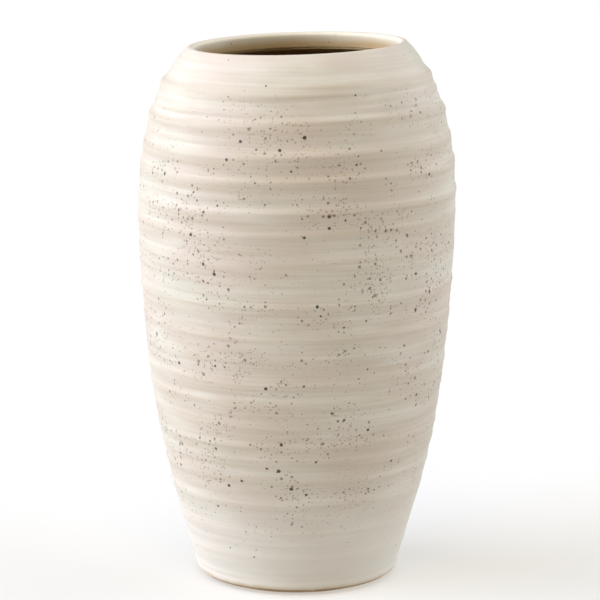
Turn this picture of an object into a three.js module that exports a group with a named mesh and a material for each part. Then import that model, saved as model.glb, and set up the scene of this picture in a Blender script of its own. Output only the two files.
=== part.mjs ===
// A hand-thrown stoneware vase: one thrown clay body, a speckled matte glaze over its outside
// and lip, and a liner glaze over its inside. Millimetres, +Z up, standing on its foot at Z = 0.
// The three layers share their faces, as glaze fired onto clay does: the face between two layers
// is turned once, and one layer uses it as it is while the other uses it turned inside out.
import * as THREE from "three";
import { mergeGeometries } from "three/addons/utils/BufferGeometryUtils.js";

// Driving dimensions
const height = 301; // from the foot to the top of the lip, along the axis
const mouthRadius = 59.3; // to the middle of the lip
const lipThickness = 4.8; // clay and both glazes together
const lipDepth = 8.4; // the inside of the lip stands upright down to this far below its top
const baseThickness = 9; // the wall just above the foot
const floorThickness = 10; // from the trimmed underside to the inside of the floor
const floorCornerRadius = 18; // where the floor turns up into the wall
const floorFlatRadius = 36;
const glazeThickness = 0.6;
const footRadius = 50; // outer edge of the flat ring the vase stands on
const footWidth = 7;
const footRecess = 3; // how far the underside is trimmed above the foot
const heelRadius = 7.5; // the rounded corner between the foot and the wall
const glazeEdgeHeight = 3.5; // the glaze is wiped off the heel below this
const segments = 36; // flats around the vase

// The swelling outline of the outside, [height, radius], from the heel up to the shoulder.
const outline = [
  [heelRadius, footRadius + heelRadius],
  [30, 63.9],
  [56, 71.2],
  [88, 77.8],
  [122, 82.8],
  [158, 86.1],
  [195, 88.2],
  [225, 88.0],
  [250, 84.8],
  [268, 80],
  [280, 75.4],
  [290, 69.6],
];

// Throwing ridges left by the fingers, [height, drop]: the wall swells slowly up to each height
// and then steps back by the drop.
const ridges = [
  [23, 0.4],
  [38, 0.5],
  [56, 0.7],
  [70, 0.6],
  [82, 0.5],
  [91, 0.8],
  [103, 0.6],
  [115, 0.7],
  [126, 1.0],
  [141, 0.7],
  [152, 0.9],
  [170, 1.1],
  [192, 0.9],
  [208, 0.8],
  [221, 1.1],
  [238, 1.1],
  [251, 1.2],
  [267, 1.3],
  [285, 1.0],
];
const stepHalfHeight = 2.2; // each step back is spread over twice this

// The wall grew a little taller on the +X side: above tiltStart each ring tips that way, most at
// the lip.
const tiltStart = 105;
const tiltAtTop = 0.031; // rise over run

// A smooth curve through the outline's points: a Hermite curve with the mean slope at each point.
function radiusAt(z) {
  const last = outline.length - 1;
  let i = 0;
  while (i < last - 1 && z > outline[i + 1][0]) i += 1;
  const slope = (a, b) =>
    (outline[b][1] - outline[a][1]) / (outline[b][0] - outline[a][0]);
  const [z0, r0] = outline[i];
  const [z1, r1] = outline[i + 1];
  const m0 = slope(Math.max(i - 1, 0), i + 1) * (z1 - z0);
  const m1 = slope(i, Math.min(i + 2, last)) * (z1 - z0);
  const t = (z - z0) / (z1 - z0);
  const t2 = t * t;
  const t3 = t2 * t;
  return (
    r0 * (2 * t3 - 3 * t2 + 1) + m0 * (t3 - 2 * t2 + t) + r1 * (3 * t2 - 2 * t3) + m1 * (t3 - t2)
  );
}

// Points of a circular arc in the profile, angles in degrees from the outward direction.
function arc(centreRadius, centreHeight, radius, from, to, steps) {
  return Array.from({ length: steps + 1 }, (_, i) => {
    const angle = THREE.MathUtils.degToRad(from + ((to - from) * i) / steps);
    return new THREE.Vector2(
      centreRadius + radius * Math.cos(angle),
      centreHeight + radius * Math.sin(angle),
    );
  });
}

// Profile points moved to their left side, as walked, by a distance given at each point.
function offset(points, distanceAt) {
  return points.map((point, i) => {
    const before = points[Math.max(i - 1, 0)];
    const after = points[Math.min(i + 1, points.length - 1)];
    const along = after.clone().sub(before).normalize();
    const left = new THREE.Vector2(-along.y, along.x);
    return point.clone().addScaledVector(left, distanceAt(point));
  });
}

// Outside of the wall, from the heel to the shoulder: a crest under each step, a valley over it.
function wallOutside() {
  return ridges.flatMap(([z, drop]) =>
    [-1, 1].map((side) => {
      const at = z + side * stepHalfHeight;
      return new THREE.Vector2(radiusAt(at) - (side * drop) / 2, at);
    }),
  );
}

// The wall thins evenly from the base to the lip.
const wallThicknessAt = ({ y }) =>
  THREE.MathUtils.lerp(baseThickness, lipThickness, THREE.MathUtils.clamp(y / height, 0, 1));

// The glazed outside, from where the glaze is wiped off the heel up to the shoulder.
const heelCentre = [footRadius, heelRadius];
const wipedAngle = THREE.MathUtils.radToDeg(Math.asin((glazeEdgeHeight - heelRadius) / heelRadius));
const glazedHeel = arc(...heelCentre, heelRadius, wipedAngle, 0, 2);
const outside = [...glazedHeel, ...wallOutside()];

// The lip leaves the shoulder at 45 degrees, turns over into the mouth and drops straight down
// inside, where the outer glaze laps over it and stops.
const lipCentre = [mouthRadius, height - lipThickness / 2];
const lip = (radius) => [
  ...arc(...lipCentre, radius, 45, 180, 5),
  new THREE.Vector2(mouthRadius - radius, height - lipDepth),
];
const glazeLip = lip(lipThickness / 2);
const clayLip = lip(lipThickness / 2 - glazeThickness);

// The clay under the outer glaze.
const clayOutside = offset(outside, () => glazeThickness);

// The inside: the plain outline moved in by the wall's thickness, then a rounded corner and a
// flat floor, walked from the mouth down to the axis.
const insideHeights = [40, 75, 120, 165, 205, 240, 265, 284];
const plainOutside = insideHeights.map((z) => new THREE.Vector2(radiusAt(z), z));
const wallInside = offset(plainOutside, wallThicknessAt).reverse();
const floorHeight = footRecess + floorThickness;
const floorCorner = arc(
  floorFlatRadius,
  floorHeight + floorCornerRadius,
  floorCornerRadius,
  0,
  -90,
  4,
);
const floorCentre = new THREE.Vector2(0, floorHeight);
const inside = [...wallInside, ...floorCorner, floorCentre];
const clayInside = offset(inside, () => glazeThickness);
clayInside[clayInside.length - 1].x = 0;

// The unglazed heel, foot ring and trimmed underside, from the axis out to the glaze's edge.
const bareHeel = arc(...heelCentre, heelRadius - glazeThickness, -90, wipedAngle, 2);
const underside = [
  new THREE.Vector2(0, footRecess),
  new THREE.Vector2(footRadius - footWidth - footRecess, footRecess),
  new THREE.Vector2(footRadius - footWidth, 0),
  new THREE.Vector2(footRadius, 0),
  ...bareHeel.slice(1, -1),
  clayOutside[0],
];

// An open surface of revolution about Z from [radius, height] points, with its rings tipped.
// Walked upwards, a profile gives a surface that faces away from the axis.
function turned(profile) {
  const geometry = new THREE.LatheGeometry(profile, segments);
  geometry.rotateX(Math.PI / 2);
  const position = geometry.getAttribute("position");
  for (let i = 0; i < position.count; i += 1) {
    const z = position.getZ(i);
    const rise = Math.max(z - tiltStart, 0) / (height - tiltStart);
    position.setZ(i, z + tiltAtTop * rise * position.getX(i));
  }
  geometry.computeVertexNormals();
  return geometry;
}

// The same surface, facing the other way.
function insideOut(surface) {
  const geometry = surface.clone();
  geometry.getIndex().array.reverse();
  geometry.computeVertexNormals();
  return geometry;
}

const outerFace = turned([...clayOutside, ...clayLip]);
const innerFace = turned([clayLip.at(-1), ...clayInside]);

const layers = {
  stoneware_body: {
    faces: [turned(underside), outerFace, innerFace],
    material: { color: 0xb59c7c, roughness: 0.9, metalness: 0 },
  },
  outer_glaze: {
    faces: [
      turned([clayOutside[0], ...outside, ...glazeLip, clayLip.at(-1)]),
      insideOut(outerFace),
    ],
    material: { color: 0xddd5c6, roughness: 0.55, metalness: 0 },
  },
  liner_glaze: {
    faces: [turned([clayLip.at(-1), glazeLip.at(-1), ...inside]), insideOut(innerFace)],
    material: { color: 0xb8a080, roughness: 0.5, metalness: 0 },
  },
};

const vase = new THREE.Group();
Object.entries(layers).forEach(([name, { faces, material }]) => {
  const mesh = new THREE.Mesh(mergeGeometries(faces), new THREE.MeshStandardMaterial(material));
  mesh.name = name;
  vase.add(mesh);
});

export default vase;
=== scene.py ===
# %% [markdown]
# # A hand-thrown stoneware vase
# This lesson dresses a plain model of a vase in its real surface. The plain model gives the size
# and the place of three layers of fired material: the clay, the glaze outside and the liner glaze
# inside. Each layer is thrown again here on a finer wheel, with the marks the fingers leave, and
# then gets a finish made of shader nodes. Lengths are millimetres until a mesh is finished.

# %% Load the plain model and keep its meshes
import math

import bmesh
import bpy
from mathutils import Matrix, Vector, noise


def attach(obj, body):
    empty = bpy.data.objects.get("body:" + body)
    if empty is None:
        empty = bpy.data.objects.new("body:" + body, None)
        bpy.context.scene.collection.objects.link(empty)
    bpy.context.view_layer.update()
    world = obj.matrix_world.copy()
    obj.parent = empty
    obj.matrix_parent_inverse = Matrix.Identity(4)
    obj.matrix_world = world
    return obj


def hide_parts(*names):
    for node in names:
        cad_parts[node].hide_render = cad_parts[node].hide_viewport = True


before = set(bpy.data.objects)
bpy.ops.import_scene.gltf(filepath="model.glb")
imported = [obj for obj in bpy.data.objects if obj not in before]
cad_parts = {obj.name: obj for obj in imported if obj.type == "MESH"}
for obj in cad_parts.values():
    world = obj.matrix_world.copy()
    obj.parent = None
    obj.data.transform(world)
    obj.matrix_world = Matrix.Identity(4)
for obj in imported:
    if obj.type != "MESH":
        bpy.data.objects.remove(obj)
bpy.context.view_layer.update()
MM = 0.001


# %% [markdown]
# ## The outline
# A potter pulls the wall up to a smooth outline first. A few heights and radii say where it goes,
# and a Hermite curve joins them, so the outline has no corners. A spline object could do the same,
# but a short function can be asked for the radius at any height, which the marks need later.

# %% The smooth outline of the outside
HEIGHT = 301.0  # to the top of the lip, along the middle of the vase
FOOT_RADIUS = 50.0
HEEL_RADIUS = 7.5  # the rounded corner between the foot and the wall
SHOULDER_TOP = 290.0
OUTLINE = (
    (HEEL_RADIUS, FOOT_RADIUS + HEEL_RADIUS),
    (30, 63.9),
    (56, 71.2),
    (88, 77.8),
    (122, 82.8),
    (158, 86.1),
    (195, 88.2),
    (225, 88.0),
    (250, 84.8),
    (268, 80.0),
    (280, 75.4),
    (SHOULDER_TOP, 69.6),
)


def outline_radius(z):
    """Radius of the smooth outside at height z."""
    last = len(OUTLINE) - 1
    i = 0
    while i < last - 1 and z > OUTLINE[i + 1][0]:
        i += 1

    def slope(a, b):
        return (OUTLINE[b][1] - OUTLINE[a][1]) / (OUTLINE[b][0] - OUTLINE[a][0])

    (z0, r0), (z1, r1) = OUTLINE[i], OUTLINE[i + 1]
    span = z1 - z0
    start = slope(max(i - 1, 0), i + 1) * span
    end = slope(i, min(i + 2, last)) * span
    t = (z - z0) / span
    r = r0 * (2 * t**3 - 3 * t**2 + 1) + start * (t**3 - 2 * t**2 + t)
    return r + r1 * (3 * t**2 - 2 * t**3) + end * (t**3 - t**2)


print("widest", round(2 * max(outline_radius(z) for z in range(150, 250)), 1), "mm across")

# %% [markdown]
# ## Marks of the fingers
# Each time the fingers climb, they leave a ridge: going up, the wall swells faster and faster and
# then drops back within a few millimetres. So each ridge is a soft step with a tail that dies away
# below it.

# %% Ridges outside: the height of each step and how far it drops
RIDGES = (
    (23, 0.4),
    (38, 0.5),
    (56, 0.7),
    (70, 0.6),
    (82, 0.5),
    (91, 0.8),
    (103, 0.6),
    (115, 0.7),
    (126, 0.9),
    (141, 0.6),
    (152, 0.8),
    (170, 0.8),
    (192, 0.6),
    (208, 0.7),
    (221, 1.2),
    (238, 1.5),
    (251, 1.7),
    (267, 1.8),
    (285, 1.4),
)
STEP_SOFTNESS = 0.85
SWELL = 6.5  # in this distance below a step the wall falls back by two thirds of the drop
MEAN_SWELL = 0.3  # taken off, so that the ridges leave the vase about as wide as its outline


def ridge(z):
    """How far the ridges stand out at height z."""
    stand = -MEAN_SWELL
    for step, drop in RIDGES:
        below = step - z
        if -12 * STEP_SOFTNESS < below < 8 * SWELL:
            tail = math.exp(-max(below, 0) / SWELL)
            stand += drop * tail / (1 + math.exp(-below / STEP_SOFTNESS))
    return stand


print(len(RIDGES), "ridges, with drops up to", max(drop for _, drop in RIDGES), "mm on average")

# %% [markdown]
# ### Hands are never even
# A real ridge is deeper on one side of the pot than on the other, because the pressure of the
# hand changes while the wheel turns. Smooth noise that is long around the vase and short up the
# wall gives that change, and the same noise in a finer pitch gives the combing of the fingertips.

# %% Noise round the vase, and all the marks of the outside
MEAN_RADIUS = 85.0  # turns an angle into a length round the wall
NOISE_GAIN = 1.6  # raw noise seldom passes 0.6
COMBED = 0.16  # depth of the fine combing
SHOULDER_COMBED = 0.34  # and how much deeper it is near the top


def fade(value, start, end):
    """0 below start, 1 above end, smooth between."""
    t = min(max((value - start) / (end - start), 0.0), 1.0)
    return t * t * (3 - 2 * t)


def around(angle, z, reach, pitch, seed):
    """Noise from -1 to 1 that changes over reach round the vase and over pitch up the wall."""
    out = MEAN_RADIUS / reach
    where = Vector((math.cos(angle) * out, math.sin(angle) * out, z / pitch + seed))
    return noise.noise(where) * NOISE_GAIN


def outside_mark(angle, z):
    """All the marks of the outside wall; the front, where the angle's sine is -1, has the most."""
    front = -math.sin(angle)
    wander = 1.1 * around(angle, z, 70, 45, 3.1)
    strength = 0.9 + 0.25 * front + 0.4 * around(angle, z, 55, 22, 11.7)
    strength += 0.35 * max(front, 0) ** 6 * fade(z, 222.0, 240.0)
    mark = 1.1 * ridge(z + wander) * strength
    combed = COMBED + SHOULDER_COMBED * (fade(z, 258.0, 268.0) - fade(z, 286.0, 292.0))
    mark += combed * around(angle, z, 110, 2.5, 27.3)
    mark += 0.05 * around(angle, z, 50, 1.3, 41.9)
    mark += 0.30 * around(angle, z, 80, 60, 55.5)
    return mark * fade(z, 2.0, 10.0) * (1 - fade(z, SHOULDER_TOP, 299.5))


steps_round = [math.radians(15 * i) for i in range(24)]
marks = [outside_mark(angle, z) for angle in steps_round for z in range(10, 290)]
print("outside marks from", round(min(marks), 1), "to", round(max(marks), 1), "mm")

# %% [markdown]
# ## Marks inside
# The other hand works inside and leaves broader rings there, and the potter's finger ends on the
# floor as a flat spiral. Both are shallow. Underneath, the turning tool that cleans up the base
# leaves closer rings.

# %% Rings on the inner wall, the spiral on the floor and the rings underneath
FLOOR = 13.0  # height of the inside floor
FLOOR_CORNER = 18.0
FLOOR_FLAT = 36.0
RING_PITCH = 13.0
RING_DEPTH = 0.38
SPIRAL_PITCH = 8.5
SPIRAL_DEPTH = 0.45
TRIM_PITCH = 3.6
TRIM_DEPTH = 0.16


def inside_mark(angle, z):
    """How far the inner wall comes in."""
    wave = math.sin(2 * math.pi * z / RING_PITCH + angle + 2.0 * around(angle, z, 90, 50, 7.7))
    mark = RING_DEPTH * wave + 0.10 * around(angle, z, 60, 2.8, 19.3)
    return mark * (1 - fade(z, 286.0, 297.0)) * fade(z, 30.0, 48.0)


def floor_mark(angle, radius):
    """How far the floor rises."""
    wave = math.sin(2 * math.pi * radius / SPIRAL_PITCH - angle)
    return SPIRAL_DEPTH * wave * fade(radius, 3.0, 9.0) * (1 - fade(radius, 34.0, 46.0))


def trim_mark(angle, radius):
    """How far the trimmed underside dips."""
    wave = math.sin(2 * math.pi * radius / TRIM_PITCH + 0.5 * math.sin(angle))
    return -TRIM_DEPTH * wave * fade(radius, 2.0, 6.0) * (1 - fade(radius, 36.0, 39.0))


print("rings", RING_PITCH, "mm apart inside and", TRIM_PITCH, "mm apart underneath")

# %% [markdown]
# ## Profiles
# Every layer is one closed profile that is spun round the axis. The clay and the two glazes share
# the rows of their common faces, so the layers touch and never cross. Faces that show get rows
# a little over a millimetre apart, and faces that are hidden between two layers far fewer.

# %% Arcs, rows and the shared stretches of profile
FINE_ROW = 1.15
HIDDEN_ROW = 3.4
GLAZE = 0.6  # thickness of either glaze
GLAZE_EDGE = 3.5  # the glaze is wiped off the heel below this height
BASE_THICKNESS = 9.0  # of the whole wall, just above the foot
LIP_THICKNESS = 4.8
LIP_DEPTH = 8.4  # the inside of the lip stands upright down to this far below its top
MOUTH_RADIUS = 59.3  # to the middle of the lip
LIP_CENTRE = (MOUTH_RADIUS, HEIGHT - LIP_THICKNESS / 2)
HEEL_CENTRE = (FOOT_RADIUS, HEEL_RADIUS)
WIPED = math.degrees(math.asin((GLAZE_EDGE - HEEL_RADIUS) / HEEL_RADIUS))


def arc(centre, radius, start, end, steps):
    """Points of an arc, angles in degrees from the outward direction."""
    angles = [math.radians(start + (end - start) * i / steps) for i in range(steps + 1)]
    return [(centre[0] + radius * math.cos(a), centre[1] + radius * math.sin(a)) for a in angles]


def rows(low, high, spacing):
    """Heights from low to high, both left out."""
    count = round((high - low) / spacing)
    return [low + (high - low) * i / count for i in range(1, count)]


def wall_thickness(z):
    """The wall thins evenly from the base to the lip."""
    return BASE_THICKNESS + (LIP_THICKNESS - BASE_THICKNESS) * z / HEIGHT


def wall_point(z, depth):
    """A point of the wall, moved in from the outside by depth, square to the outline."""
    rise = outline_radius(z + 0.5) - outline_radius(z - 0.5)
    length = math.hypot(1, rise)
    return outline_radius(z) - depth / length, z + depth * rise / length


def shoulder_curve(inner, depth, spacing, arrival):
    """A soft curve from the wall's last row up to inner, where arrival points back down it."""
    start = Vector(wall_point(SHOULDER_TOP, depth))
    below = Vector(wall_point(SHOULDER_TOP - 1, depth))
    tip = Vector(inner)
    reach = (tip - start).length / 2.6
    leave = start + (start - below).normalized() * reach
    arrive = tip + Vector(arrival).normalized() * reach
    count = round((tip - start).length / spacing)
    points = []
    for i in range(count):
        t = i / count
        point = start * (1 - t) ** 3 + leave * 3 * t * (1 - t) ** 2
        point += arrive * 3 * t * t * (1 - t) + tip * t**3
        points.append(tuple(point))
    return points


def lip_end(depth):
    """Where the lip's upright inside ends, and the two glazes meet."""
    return MOUTH_RADIUS - LIP_THICKNESS / 2 + depth, HEIGHT - LIP_DEPTH


def outside_face(depth, spacing, lip_steps):
    """The outside of a layer that lies depth under the glaze's surface, from heel to lip's end."""
    heel = arc(HEEL_CENTRE, HEEL_RADIUS - depth, WIPED, 0, 6)
    wall = [wall_point(z, depth) for z in rows(HEEL_RADIUS, SHOULDER_TOP, spacing)]
    lip = arc(LIP_CENTRE, LIP_THICKNESS / 2 - depth, 45, 180, lip_steps)
    drop = [(lip[-1][0], z) for z in rows(HEIGHT - LIP_DEPTH, LIP_CENTRE[1], spacing)[::-1]]
    shoulder = shoulder_curve(lip[0], depth, spacing, (1, -1))
    return heel + wall + shoulder + lip + drop + [lip_end(depth)]


def inside_face(depth, spacing):
    """The inside of a layer that lies depth under the liner's surface, from lip to axis."""
    inwards = wall_thickness(SHOULDER_TOP) - depth
    shoulder = shoulder_curve(lip_end(depth), inwards, spacing, (0.25, -1))[::-1]
    heights = rows(FLOOR + FLOOR_CORNER + 8, SHOULDER_TOP, spacing)[::-1]
    wall = [wall_point(z, wall_thickness(z) - depth) for z in heights]
    corner_centre = (FLOOR_FLAT, FLOOR + FLOOR_CORNER)
    corner = arc(corner_centre, FLOOR_CORNER + depth, 0, -90, round(28 / spacing))
    flat = [(r, FLOOR - depth) for r in rows(0, FLOOR_FLAT, spacing)[::-1]]
    return shoulder + wall + corner + flat + [(0, FLOOR - depth)]


clay_outside = outside_face(GLAZE, HIDDEN_ROW, 8)
clay_inside = inside_face(GLAZE, HIDDEN_ROW)
print("hidden rows:", len(clay_outside), "outside and", len(clay_inside), "inside")

# %% [markdown]
# ## The wheel
# `spin` turns a profile into a solid of revolution, as the wheel does. Each point keeps how far
# along the profile it is, which becomes its height on the UV map. A spun mesh is chosen over a
# screw modifier because its points can carry such notes.

# %% Spin a profile
SIDES = 240
HIDDEN_SHARE = 0.12  # hidden faces get little room on the UV map
NOTES = ("along", "height", "thinness_and_shade", "lapped")


def spun(profile, shown):
    """A closed bmesh spun from profile; shown is how many of its first points are seen."""
    turned = bmesh.new()
    for name in NOTES:
        turned.verts.layers.float.new(name)
    along = turned.verts.layers.float["along"]
    points = []
    run = 0.0
    for i, (r, z) in enumerate(profile):
        point = turned.verts.new((r, 0, z))
        if i:
            step = math.dist(profile[i - 1], profile[i])
            run += step if i < shown else step * HIDDEN_SHARE
        point[along] = run
        points.append(point)
    closed = profile[0][0] > 0
    ends = zip(points, points[1:] + points[:1] if closed else points[1:])
    edges = [turned.edges.new(pair) for pair in ends]
    bmesh.ops.spin(
        turned,
        geom=points + edges,
        cent=(0, 0, 0),
        axis=(0, 0, 1),
        angle=2 * math.pi,
        steps=SIDES,
        use_merge=True,
    )
    bmesh.ops.remove_doubles(turned, verts=turned.verts, dist=1e-3)
    return turned, along, run


print("each row has", SIDES, "points,", round(2 * math.pi * MEAN_RADIUS / SIDES, 1), "mm apart")

# %% [markdown]
# ### Pressing the marks
# After the spin the fingers press their marks into the wall, and the rings tip a little, because
# the wall grew taller on one side. Each point notes its height, how thin glaze would run there,
# which also places the painted shade under each ridge, and how far it has lapped into the mouth,
# for the finishes to read.

# %% Press the marks and tip the rings
TILT_START = 105.0
TILT_AT_TOP = 0.031


def tipped(x, z):
    """The height of a point once its ring has tipped."""
    return z + TILT_AT_TOP * x * max(z - TILT_START, 0) / (HEIGHT - TILT_START)


def inner_limit(z):
    """Points further out than this belong to the outside."""
    if z > SHOULDER_TOP:
        return MOUTH_RADIUS + 1.5
    return outline_radius(max(z, HEEL_RADIUS)) - 3.5


def press(turned):
    """Presses the marks of both hands into a spun layer, makes its notes and tips its rings."""
    note_height = turned.verts.layers.float["height"]
    note_thinness_and_shade = turned.verts.layers.float["thinness_and_shade"]
    note_lapped = turned.verts.layers.float["lapped"]
    for point in turned.verts:
        x, y, z = point.co
        radius = math.hypot(x, y)
        angle = math.atan2(y, x)
        point[note_height] = z
        pushed = radius
        if z < FLOOR - 2 and radius < FOOT_RADIUS - 2:
            z += trim_mark(angle, radius)
        elif z < FLOOR + FLOOR_CORNER and radius < outline_radius(max(z, HEEL_RADIUS)) - 6:
            z += floor_mark(angle, radius)
        elif radius > inner_limit(z):
            mark = outside_mark(angle, z)
            pushed += mark
            # Thinness follows the ridges, so the warm colour it brings is also painted shade in a
            # band under each ridge.
            thinness_and_shade = min(max(0.5 + 0.55 * mark, 0), 1)
            point[note_thinness_and_shade] = thinness_and_shade * (1 - fade(z, 292.0, 299.0))
        else:
            pushed -= inside_mark(angle, z)
        if z > HEIGHT - LIP_DEPTH - 0.1:
            point[note_lapped] = fade(MOUTH_RADIUS - radius, 0.2, 2.0)
        scale = pushed / radius if radius > 0 else 1
        point.co = (x * scale, y * scale, tipped(x * scale, z))


out_of_level = tipped(MOUTH_RADIUS, HEIGHT) - tipped(-MOUTH_RADIUS, HEIGHT)
print("the mouth is", round(out_of_level, 1), "mm out of level")

# %% [markdown]
# ### The UV map
# Rolled out flat, a layer is a plain sheet: round the vase is across, along the profile is up.
# That is the map any picture of the surface is later drawn on. A map worked out from the angle
# and the noted length has a single seam, straight up the front, where an automatic unwrap is
# likely to cut a round pot into many pieces. It is stretched where the pot is narrow.

# %% Unwrap a layer
def unwrap(turned, along, run):
    """Rolls the layer out flat: round the vase is across, along the profile is up."""
    sheet = turned.loops.layers.uv.new("OFBake")
    for face in turned.faces:
        middle = face.calc_center_median()
        seam = math.atan2(middle.x, middle.y)
        heights = [loop.vert[along] for loop in face.loops]
        for loop, height in zip(face.loops, heights):
            place = loop.vert.co
            on_axis = math.hypot(place.x, place.y) <= 1e-3
            turn = seam if on_axis else math.atan2(place.x, place.y)
            turn += 2 * math.pi * round((seam - turn) / (2 * math.pi))
            if max(heights) - min(heights) > run / 2 and height < run / 2:
                height = run
            across = 0.5 + turn / (2 * math.pi)
            loop[sheet].uv = (min(max(across, 0), 1), height / run)


# %% [markdown]
# ### A finished layer
# One function takes a profile through all the steps, turns millimetres into metres, and hides the
# node of the plain model that the layer replaces. Edges sharper than the crease angle stay
# crisp, such as where the two glazes meet in the mouth, and all else is shaded smooth.

# %% From a profile to a piece
CREASE = math.radians(50)


def piece_from(name, profile, shown, node):
    """A finished layer as an object in metres; the node of the plain model it replaces is hidden.
    """
    turned, along, run = spun(profile, shown)
    bmesh.ops.recalc_face_normals(turned, faces=turned.faces)
    unwrap(turned, along, run)
    press(turned)
    bmesh.ops.scale(turned, vec=(MM, MM, MM), verts=turned.verts)
    for face in turned.faces:
        face.smooth = True
    mesh = bpy.data.meshes.new(name)
    turned.to_mesh(mesh)
    turned.free()
    mesh.set_sharp_from_angle(angle=CREASE)
    piece = bpy.data.objects.new(name, mesh)
    bpy.context.scene.collection.objects.link(piece)
    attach(piece, "root")
    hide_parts(node)
    triangles = sum(len(face.vertices) - 2 for face in mesh.polygons)
    print(name, "has", len(mesh.vertices), "vertices and", triangles, "triangles")
    return piece


# %% [markdown]
# ## The three layers
# The outer glaze runs from a rounded edge on the heel over the wall and the lip, and a little way
# down inside the mouth, as it does on a pot that is dipped upside down. The liner takes over there
# and covers the inside. The clay shows only where the foot was wiped clean, so its underside gets
# the fine rows.

# %% Throw the layers
shown_outside = outside_face(0, FINE_ROW, 16)
shown_inside = inside_face(0, FINE_ROW * 1.3)

edge_middle = tuple((a + b) / 2 for a, b in zip(clay_outside[0], shown_outside[0]))
rounded_edge = arc(edge_middle, GLAZE / 2, WIPED - 180, WIPED, 5)[1:-1]
glaze = piece_from(
    "speckled_glaze_coat",
    rounded_edge + shown_outside + clay_outside[::-1],
    len(rounded_edge) + len(shown_outside),
    "outer_glaze",
)

liner = piece_from(
    "liner_glaze_coat",
    shown_inside[::-1] + clay_outside[-1:] + clay_inside,
    len(shown_inside),
    "liner_glaze",
)

# %% [markdown]
# The underside is trimmed with a turning tool once the clay is leather hard. That leaves a shallow
# recess and a flat ring to stand on, with edges that a wet sponge has softened.

# %% Throw the clay with its trimmed foot
FOOT_WIDTH = 7.0
FOOT_RECESS = 3.0
RECESS_ROUND = 2.0
SOFT_EDGE = 0.8
flat_end = FOOT_RADIUS - FOOT_WIDTH - FOOT_RECESS - RECESS_ROUND
underside = [(0, FOOT_RECESS)] + [(r, FOOT_RECESS) for r in rows(0, flat_end, 1.2)]
underside += arc((flat_end, FOOT_RECESS - RECESS_ROUND), RECESS_ROUND, 90, 45, 3)
underside += arc((FOOT_RADIUS - FOOT_WIDTH + SOFT_EDGE, SOFT_EDGE), SOFT_EDGE, 225, 270, 3)
underside += arc((FOOT_RADIUS - SOFT_EDGE, SOFT_EDGE), SOFT_EDGE, 270, 315, 3)
underside += arc(HEEL_CENTRE, HEEL_RADIUS - GLAZE, -60, WIPED, 5)[:-1]
body = piece_from(
    "stoneware_clay",
    underside + clay_outside + clay_inside,
    len(underside),
    "stoneware_body",
)

# %% [markdown]
# ## A short way to write finishes
# A finish is a tree of nodes. Wrapping a socket in a small class lets its maths be written as
# plain sums: each sum adds one maths node. That keeps a finish readable, where dozens of lines of
# links would hide it.

# %% Sums on sockets
class Value:
    """A socket's value, which can stand in a sum."""

    def __init__(self, finish, socket):
        self.finish = finish
        self.socket = socket

    def also(self, output):
        """Another output of the same node."""
        return Value(self.finish, self.socket.node.outputs[output])

    def sum(self, operation, first, second):
        """A maths node on two values, either of which may be a plain number."""
        inputs = {0: first, 1: second}
        return self.finish.node("ShaderNodeMath", {"operation": operation}, inputs)

    def __add__(self, other):
        return self.sum("ADD", self, other)

    def __radd__(self, other):
        return self.sum("ADD", other, self)

    def __sub__(self, other):
        return self.sum("SUBTRACT", self, other)

    def __rsub__(self, other):
        return self.sum("SUBTRACT", other, self)

    def __mul__(self, other):
        return self.sum("MULTIPLY", self, other)

    def __rmul__(self, other):
        return self.sum("MULTIPLY", other, self)


# %% [markdown]
# ### The parts a finish is made of
# One method adds any node, and the others are built on it: blends of two colours, soft fades,
# stretched clouds of noise, the notes on the mesh's points, and round grains. The clouds and the
# grains use the object's own coordinates, so the finish sits still on the pot wherever it stands.

# %% One method for every node, and the looks built on it
SHAKES_PER_METRE = 900.0  # makes the outline of a grain a little uneven
SHAKE = 0.6  # by this many millimetres at most


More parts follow.
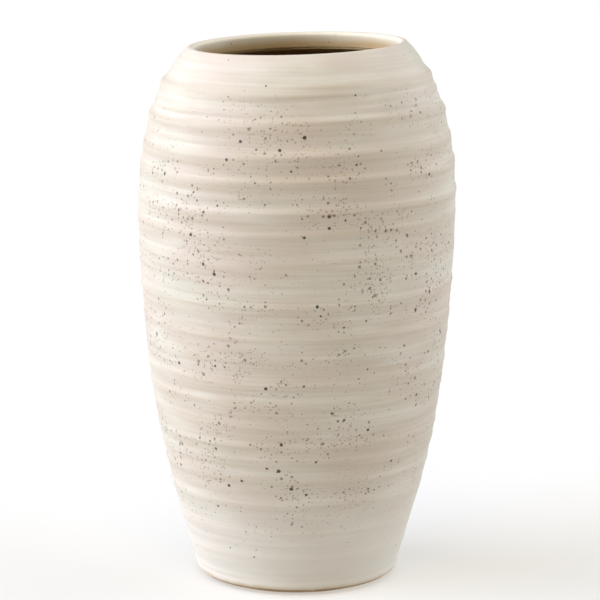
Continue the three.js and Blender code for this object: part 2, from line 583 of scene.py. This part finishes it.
class Finish:
    """A material that is built one node at a time on Object coordinates."""

    def __init__(self, name):
        self.material = bpy.data.materials.new(name)
        self.material.use_nodes = True
        self.tree = self.material.node_tree
        self.shader = self.tree.nodes["Principled BSDF"]
        self.place = self.node("ShaderNodeTexCoord", output="Object")

    def feed(self, socket, value):
        """Links a value to a socket, or sets the socket to a plain number or colour."""
        if isinstance(value, Value):
            self.tree.links.new(value.socket, socket)
        elif socket.type == "RGBA":
            socket.default_value = (*value, 1)
        else:
            socket.default_value = value

    def node(self, kind, settings=None, inputs=None, output=0):
        """Adds a node, gives it its settings and then its inputs, and returns an output."""
        node = self.tree.nodes.new(kind)
        for key, value in (settings or {}).items():
            setattr(node, key, value)
        for key, value in (inputs or {}).items():
            self.feed(node.inputs[key], value)
        return Value(self, node.outputs[output])

    def blend(self, share, first, second):
        """The first colour where share is 0, the second where it is 1."""
        inputs = {0: share, 6: first, 7: second}
        return self.node("ShaderNodeMix", {"data_type": "RGBA"}, inputs, output=2)

    def fade(self, value, start, end):
        """0 at start, 1 at end, smooth between; start may be the larger."""
        inputs = {"Value": value, "From Min": start, "From Max": end}
        settings = {"interpolation_type": "SMOOTHSTEP"}
        return self.node("ShaderNodeMapRange", settings, inputs)

    def cloud(self, reach, pitch, seed, detail=2.0):
        """Noise from 0 to 1 that changes over reach mm across and over pitch mm up."""
        size = (1 / (reach * MM), 1 / (reach * MM), 1 / (pitch * MM))
        inputs = {"Vector": self.place, "Location": (seed, seed, seed), "Scale": size}
        where = self.node("ShaderNodeMapping", None, inputs)
        inputs = {"Vector": where, "Scale": 1.0, "Detail": detail}
        return self.node("ShaderNodeTexNoise", None, inputs)

    def note(self, name):
        """A number that was noted on the mesh's points."""
        return self.node("ShaderNodeAttribute", {"attribute_name": name}, output="Fac")

    def grains(self, spacing, largest, crowd, seed):
        """Round grains about spacing mm apart: 1 inside, 0 outside. Few where crowd is near 0."""
        inputs = {"Vector": self.place, "Scale": SHAKES_PER_METRE, "Detail": 1.0}
        shake = self.node("ShaderNodeTexNoise", None, inputs, "Color")
        inputs = {0: shake, 1: (SHAKE * MM,) * 3, 2: self.place}
        shaken = self.node("ShaderNodeVectorMath", {"operation": "MULTIPLY_ADD"}, inputs)
        inputs = {"Vector": shaken, "Location": (seed * MM,) * 3}
        moved = self.node("ShaderNodeMapping", None, inputs)
        inputs = {"Vector": moved, "Scale": 1 / (spacing * MM)}
        distance = self.node("ShaderNodeTexVoronoi", None, inputs)
        chance = self.node("ShaderNodeSeparateColor", None, {0: distance.also("Color")})
        size = largest * (crowd - chance)
        return self.fade(distance * spacing - size, 0.10, -0.25)

    def finish(self, piece, color, roughness, relief):
        """Feeds the shader and puts the material on its piece; relief is a height in mm."""
        bump = {"Height": relief, "Distance": MM}
        self.feed(self.shader.inputs["Base Color"], color)
        self.feed(self.shader.inputs["Roughness"], roughness)
        self.feed(self.shader.inputs["Normal"], self.node("ShaderNodeBump", None, bump))
        piece.data.materials.append(self.material)
        print(self.material.name, "has", len(self.tree.nodes), "nodes")


# %% [markdown]
# ## The speckled glaze
# The glaze is a matte cream. Where it runs thin, over a crest, in streaks along the wheel and at
# its edges on the lip and the heel, the warm clay colours it; over the crests that warm colour is
# also painted shade, a darker band under each ridge. It is paler towards the bottom. Inside the
# lip the lapped cream is painted lighter than the outer glaze, as painted light. Layers of
# stretched noise give the soft pink and green clouds and the streaks. Colours are linear amounts
# of red, green and blue.

# %% Colour of the glaze
cream = Finish("speckled matte glaze")
thin_and_shade = cream.note("thinness_and_shade")
height = cream.note("height")
CREAM = (0.545, 0.49, 0.395)
PINK = (0.515, 0.43, 0.345)
GREENISH = (0.475, 0.44, 0.34)
WARM_AND_SHADE = (0.43, 0.35, 0.25)
PALE = (0.62, 0.575, 0.49)
TAN = (0.43, 0.285, 0.125)
LAPPED_CREAM_PAINTED_LIGHT = (0.68, 0.60, 0.45)
pink_clouds = cream.fade(cream.cloud(48, 20, 3.1), 0.38, 0.60)
color = cream.blend(pink_clouds, CREAM, PINK)
green_clouds = cream.fade(cream.cloud(40, 26, 17.7), 0.48, 0.68)
color = cream.blend(0.55 * green_clouds, color, GREENISH)
streaks = cream.fade(cream.cloud(45, 3.2, 8.3, 3.0), 0.35, 0.7)
fine_streaks = cream.fade(cream.cloud(70, 1.5, 40.3), 0.35, 0.65)
# Warm where the glaze runs thin and in streaks; over the ridges this warm colour is also painted
# shade under each step.
color = cream.blend(0.60 * thin_and_shade + 0.30 * streaks + 0.30 * fine_streaks - 0.30, color, WARM_AND_SHADE)
# Paler towards the bottom.
color = cream.blend(0.65 * cream.fade(height, 85.0, 15.0), color, PALE)
heel_edge = cream.fade(height + 4.0 * cream.cloud(12, 40, 5.9), 8.0, 5.0)
# Inside the lip the lapped cream is painted lighter than the outer glaze: painted light where the
# mouth is in shade.
inner_lip = cream.note("lapped")
color = cream.blend(inner_lip, color, LAPPED_CREAM_PAINTED_LIGHT)
lapped_edge = inner_lip * cream.fade(height + 3.0 * cream.cloud(22, 60, 2.0), 302.0, 295.0)
color = cream.blend(0.6 * heel_edge + lapped_edge, color, TAN)
print("the glaze's colour takes", len(cream.tree.nodes), "nodes so far")

# %% [markdown]
# ### Iron specks
# Grains of iron in the clay melt up through the glaze as dark specks. A few are large and nearly
# black, many are small and brown, and they gather in loose clusters with few near the mouth and
# the foot. A Voronoi texture has one centre in each cell, so a small ball round each centre cuts
# the surface in a disc, and the cell's own random colour decides how large it is.

# %% Three sizes of specks
belt = cream.fade(height, 15.0, 65.0) * cream.fade(height, 302.0, 255.0)
cluster = cream.fade(cream.cloud(26, 20, 34.7, 2.0), 0.34, 0.66)
crowd = (0.30 + 0.70 * cluster) * (0.25 + 0.75 * belt)
large = cream.grains(6.8, 1.5, 0.30 + 0.60 * crowd, 3.0)
small = cream.grains(2.8, 1.10, 0.15 + 0.80 * crowd, 11.0)
dust = cream.grains(1.5, 0.75, 0.15 + 0.85 * crowd, 29.0)
IRON = (0.035, 0.024, 0.015)
BROWN = (0.13, 0.095, 0.06)
color = cream.blend(0.5 * dust, color, BROWN)
color = cream.blend(0.8 * small, color, BROWN)
color = cream.blend(0.95 * large, color, IRON)
print("and", len(cream.tree.nodes), "with its specks")

# %% [markdown]
# ### The glaze's skin
# The glaze is matte, so its roughness is high and drifts a little. Its skin has fine wheel lines,
# a faint orange peel and pinholes, and the large specks stand up slightly. All of that is about
# as fine as the mesh or finer, so it is a bump in millimetres.

# %% Roughness and relief of the glaze
roughness = 0.58 + 0.16 * (cream.cloud(9, 6, 31.0) - 0.5) - 0.2 * large
pinholes = cream.grains(4.2, 0.42, 0.45, 47.0)
relief = 0.05 * cream.cloud(40, 0.9, 13.0) + 0.03 * cream.cloud(1.6, 1.6, 5.0)
relief = relief + 0.05 * large - 0.08 * pinholes
cream.finish(glaze, color, roughness, relief)

# %% [markdown]
# ## The liner glaze
# The inside was rinsed with a thin amber-brown liner before the pot was dipped. Just under the lip,
# where the cream glaze melts into it, the liner is tan, and the rest is brown. The line between
# the two wanders, which a little noise on the height does.

# %% Liner colour, roughness and relief
amber = Finish("liner glaze")
height = amber.note("height")
wander = 3.0 * (amber.cloud(22, 60, 2.0) - 0.5)
AMBER = (0.30, 0.185, 0.085)
DARK_AMBER = (0.21, 0.125, 0.055)
RUN_TAN = (0.50, 0.34, 0.15)
pooled = amber.fade(amber.cloud(38, 9, 6.1, 3.0), 0.3, 0.7)
color = amber.blend(pooled, AMBER, DARK_AMBER)
color = amber.blend(amber.fade(height + wander, 286.5, 291.5), color, RUN_TAN)
grit = amber.grains(3.4, 0.7, 0.5, 19.0)
color = amber.blend(0.6 * grit, color, IRON)
roughness = 0.40 + 0.2 * (amber.cloud(12, 8, 4.0) - 0.5)
relief = 0.05 * amber.cloud(45, 1.2, 9.0) + 0.02 * amber.cloud(1.5, 1.5, 3.0)
amber.finish(liner, color, roughness, relief)

# %% [markdown]
# ## Bare stoneware
# The foot and the underside were wiped clean so that the pot wouldn't stick to the kiln shelf.
# Fired stoneware is a dry toasted buff, darker beside the glaze where it flashed in the fire. It
# has coarse grit, both pale and dark, and the ring it stands on is rubbed a little smoother.

# %% Clay colour, grit and wear
clay = Finish("raw stoneware")
height = clay.note("height")
BUFF = (0.42, 0.30, 0.185)
TOASTED = (0.27, 0.165, 0.085)
PALE_GRIT = (0.62, 0.53, 0.40)
toasting = clay.fade(clay.cloud(20, 20, 1.0, 3.0), 0.35, 0.65)
color = clay.blend(toasting, BUFF, TOASTED)
color = clay.blend(0.6 * clay.fade(height, 1.5, 3.6), color, TOASTED)
worn = clay.fade(height, 0.6, 0.1)
pale = clay.grains(1.7, 0.75, 0.85, 7.0)
dark = clay.grains(2.2, 0.75, 0.75, 23.0)
color = clay.blend(0.35 * worn + 0.5 * pale, color, PALE_GRIT)
color = clay.blend(0.75 * dark, color, IRON)
roughness = 0.9 - 0.2 * worn + 0.08 * (clay.cloud(4, 4, 6.0) - 0.5)
relief = 0.12 * clay.cloud(1.1, 1.1, 2.0, 3.0) + 0.08 * pale - 0.06 * dark
clay.finish(body, color, roughness, relief)

# %% [markdown]
# ## The camera
# The vase is seen from a little above, so the mouth shows as a thin ellipse. A long lens keeps
# the sides nearly parallel.

# %% Camera
SENSOR_WIDTH = 36
FOCAL_LENGTH = 176.2
CAMERA_PLACE = (0.0018, -1.621, 0.4746)
LOOKING_DOWN = 0.194  # radians below level

scene = bpy.context.scene
lens = bpy.data.cameras.new("camera")
lens.sensor_width = SENSOR_WIDTH
lens.lens = FOCAL_LENGTH
camera = bpy.data.objects.new("camera", lens)
camera.location = CAMERA_PLACE
camera.rotation_euler = (math.pi / 2 - LOOKING_DOWN, 0, 0)
scene.collection.objects.link(camera)
scene.camera = camera
print("camera looks down by", round(math.degrees(LOOKING_DOWN)), "degrees")

# %% [markdown]
# ## Floor and light
# The pot stands on a pale floor that runs far back. About half of the floor's brightness is its
# own glow, as on a light table, so the shadow on it stays soft and pale.

# %% Floor
FLOOR_GREY = (0.30, 0.30, 0.30, 1)
FLOOR_GLOW = (1.0, 0.95, 0.86, 1)
FLOOR_GLOW_STRENGTH = 0.50

bpy.ops.mesh.primitive_plane_add(size=30)
floor = bpy.context.object
floor.name = "floor"
pale_floor = bpy.data.materials.new("pale floor")
pale_floor.use_nodes = True
paint = pale_floor.node_tree.nodes["Principled BSDF"].inputs
paint["Base Color"].default_value = FLOOR_GREY
paint["Roughness"].default_value = 0.9
paint["Emission Color"].default_value = FLOOR_GLOW
paint["Emission Strength"].default_value = FLOOR_GLOW_STRENGTH
floor.data.materials.append(pale_floor)
print("floor", round(floor.dimensions.x), "m wide")

# %% [markdown]
# Suns with a wide disc act as large soft boxes and light the whole floor evenly: a strong one from
# the left, a weaker one from behind on the right that draws the far edge, and one above that picks
# out each ridge.

# %% Suns
def sun(name, turn, rise, strength, disc, color):
    """A soft sun: turn is degrees round from the front to the right, rise degrees up."""
    light = bpy.data.lights.new(name, "SUN")
    light.energy = strength * math.pi
    light.angle = math.radians(disc)
    light.color = color
    lamp = bpy.data.objects.new(name, light)
    lamp.rotation_euler = (math.radians(90 - rise), 0, math.radians(turn))
    scene.collection.objects.link(lamp)
    print(name, "at", turn, "degrees round and", rise, "up")


sun("left box", turn=-88, rise=27, strength=1.78, disc=70, color=(0.91, 1.0, 1.20))
sun("right box", turn=103, rise=25, strength=1.10, disc=85, color=(0.91, 1.0, 1.14))
sun("top box", turn=-8, rise=62, strength=0.38, disc=32, color=(1.14, 1.0, 0.76))

# %% [markdown]
# The sky adds almost no light, but where the floor ends the camera sees it as a pale wall. A Light
# Path node tells the two cases apart.

# %% Sky
SKY_COLOR = (1.0, 0.93, 0.82, 1)
SKY_STRENGTH = 0.03
WALL_COLOR = (1, 1, 1, 1)

sky = bpy.data.worlds.new("sky")
sky.use_nodes = True
nodes = sky.node_tree.nodes
links = sky.node_tree.links
glow = nodes["Background"]
glow.inputs["Color"].default_value = SKY_COLOR
glow.inputs["Strength"].default_value = SKY_STRENGTH
far_wall = nodes.new("ShaderNodeBackground")
far_wall.inputs["Color"].default_value = WALL_COLOR
light_path = nodes.new("ShaderNodeLightPath")
either = nodes.new("ShaderNodeMixShader")
links.new(light_path.outputs["Is Camera Ray"], either.inputs["Fac"])
links.new(glow.outputs["Background"], either.inputs[1])
links.new(far_wall.outputs["Background"], either.inputs[2])
links.new(either.outputs["Shader"], nodes["World Output"].inputs["Surface"])
scene.world = sky
scene.view_settings.view_transform = "Standard"
print("the sky has", len(nodes), "nodes")
